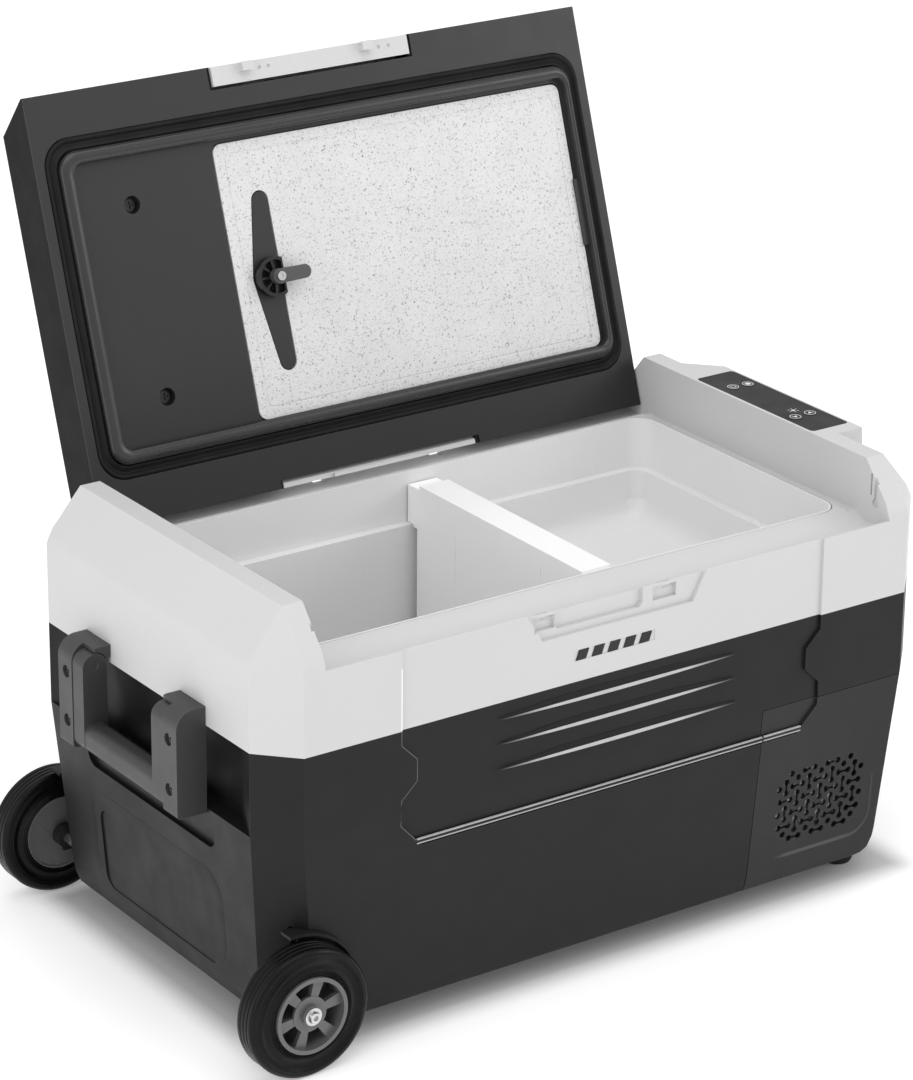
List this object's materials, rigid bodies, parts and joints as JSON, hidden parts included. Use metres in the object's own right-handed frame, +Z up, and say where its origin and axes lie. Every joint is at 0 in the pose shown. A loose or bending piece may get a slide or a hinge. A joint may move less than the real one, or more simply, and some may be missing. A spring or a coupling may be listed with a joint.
{
  "type": "portable compressor cool box",
  "caption": "Wheeled two-compartment compressor cool box with reversible insulated lid, lift-out divider, lid-mounted cutting board, swing handles and vented cooling bay.",
  "frame": {"origin": "centre of the flat underside of the base plate, midway between the end faces and between the front and back faces", "axes": "+X along the box towards the control panel end, +Y from the front face to the hinged back edge, +Z up"},
  "size_m": [0.7314, 0.5227, 0.6868],
  "materials": {
    "dark_shell": "fine moulded texture",
    "light_shell": "satin moulded",
    "liner_plastic": "smooth vacuum-formed",
    "divider_plastic": "smooth",
    "lid_plastic": "fine moulded texture",
    "lid_panel": "smooth satin",
    "bracket_plastic": "satin",
    "black_plastic": "satin",
    "overlay": "smooth film",
    "keycap": "printed symbol",
    "board": "speckled, satin",
    "seal_rubber": "soft",
    "tyre_rubber": "ribbed",
    "foot_rubber": "matt",
    "hub_plastic": "satin",
    "foam": "rigid foam",
    "steel": "plain",
    "bright_steel": "polished",
    "plate_steel": "powder coated",
    "compressor_paint": "gloss black",
    "aluminium": "mill finish",
    "copper": "drawn tube",
    "circuit": "solder mask",
    "cable": "sleeved"
  },
  "bodies": {
    "cabinet": {"lower_shell": "dark_shell", "compressor_cover": "dark_shell", "base_plate": "plate_steel", "collar": "light_shell", "inner_liner": "liner_plastic", "insulation_panels": "foam", "evaporator_plate": "aluminium", "compressor": "compressor_paint", "compressor_mounts": "foot_rubber", "condenser": "aluminium", "fan_shroud": "black_plastic", "power_module": "aluminium", "refrigerant_lines": "copper", "wiring_harness": "cable", "power_inlet": "black_plastic", "drain_tube": "liner_plastic", "control_board": "circuit", "display_module": "black_plastic", "control_overlay": "overlay", "emblem": "black_plastic", "handle_brackets": "bracket_plastic", "bracket_screws": "steel", "handle_pins": "steel", "axle": "steel", "wheel_housings": "black_plastic", "axle_caps": "bright_steel", "feet": "foot_rubber", "foot_screws": "steel"},
    "fan": {"fan_rotor": "black_plastic"},
    "drain_stopper": {"drain_plug": "foot_rubber"},
    "power_key": {"button_power": "keycap"},
    "mode_key": {"button_mode": "keycap"},
    "down_key": {"button_down": "keycap"},
    "up_key": {"button_up": "keycap"},
    "partition": {"divider": "divider_plastic"},
    "lid": {"lid_shell": "lid_plastic", "lid_liner": "lid_panel", "lid_insulation": "foam", "lid_seal": "seal_rubber", "lid_screws": "steel", "hinge_pins": "steel", "cutting_board": "board", "knob_base": "black_plastic", "knob_screw": "bright_steel", "latch_pins": "steel", "latch_springs": "steel"},
    "board_knob": {"knob_lever": "black_plastic"},
    "front_latch": {"latch_front": "light_shell"},
    "rear_latch": {"latch_rear": "light_shell"},
    "left_handle": {"handle_left": "bracket_plastic"},
    "right_handle": {"handle_right": "bracket_plastic"},
    "front_wheel": {"tyre_front": "tyre_rubber", "hub_front": "hub_plastic"},
    "rear_wheel": {"tyre_rear": "tyre_rubber", "hub_rear": "hub_plastic"}
  },
  "joints": [
    {"name": "lid_hinge", "type": "hinge", "parent": "cabinet", "child": "lid", "pos_m": [0, 0.1693, 0.3283], "axis": [1, 0, 0], "range_deg": [0, 108.5]},
    {"name": "knob_turn", "type": "hinge", "parent": "lid", "child": "board_knob", "pos_m": [-0.0755, 0.20016, 0.49397], "axis": [0, -0.9483, 0.3173], "range_deg": [0, 90]},
    {"name": "front_latch_tilt", "type": "hinge", "parent": "lid", "child": "front_latch", "pos_m": [0, 0.2811, 0.64763], "axis": [1, 0, 0], "range_deg": [0, 8]},
    {"name": "rear_latch_tilt", "type": "hinge", "parent": "lid", "child": "rear_latch", "pos_m": [0, 0.17385, 0.32709], "axis": [-1, 0, 0], "range_deg": [0, 8]},
    {"name": "left_handle_swing", "type": "hinge", "parent": "cabinet", "child": "left_handle", "pos_m": [-0.3506, 0, 0.249], "axis": [0, 1, 0], "range_deg": [0, 95]},
    {"name": "right_handle_swing", "type": "hinge", "parent": "cabinet", "child": "right_handle", "pos_m": [0.3506, 0, 0.249], "axis": [0, -1, 0], "range_deg": [0, 95]},
    {"name": "front_wheel_spin", "type": "hinge", "parent": "cabinet", "child": "front_wheel", "pos_m": [-0.3132, -0.198, 0.037], "axis": [0, 1, 0], "continuous": true},
    {"name": "rear_wheel_spin", "type": "hinge", "parent": "cabinet", "child": "rear_wheel", "pos_m": [-0.3132, 0.198, 0.037], "axis": [0, 1, 0], "continuous": true},
    {"name": "fan_spin", "type": "hinge", "parent": "cabinet", "child": "fan", "pos_m": [0.23, -0.128, 0.075], "axis": [0, 1, 0], "continuous": true},
    {"name": "divider_lift", "type": "slide", "parent": "cabinet", "child": "partition", "axis": [0, 0, -1], "range_m": [-0.2, 0]},
    {"name": "drain_plug_lift", "type": "slide", "parent": "cabinet", "child": "drain_stopper", "axis": [0, 0, 1], "range_m": [0, 0.016]},
    {"name": "power_key_press", "type": "slide", "parent": "cabinet", "child": "power_key", "axis": [0, 0, -1], "range_m": [0, 0.0006]},
    {"name": "mode_key_press", "type": "slide", "parent": "cabinet", "child": "mode_key", "axis": [0, 0, -1], "range_m": [0, 0.0006]},
    {"name": "down_key_press", "type": "slide", "parent": "cabinet", "child": "down_key", "axis": [0, 0, -1], "range_m": [0, 0.0006]},
    {"name": "up_key_press", "type": "slide", "parent": "cabinet", "child": "up_key", "axis": [0, 0, -1], "range_m": [0, 0.0006]}
  ]
}
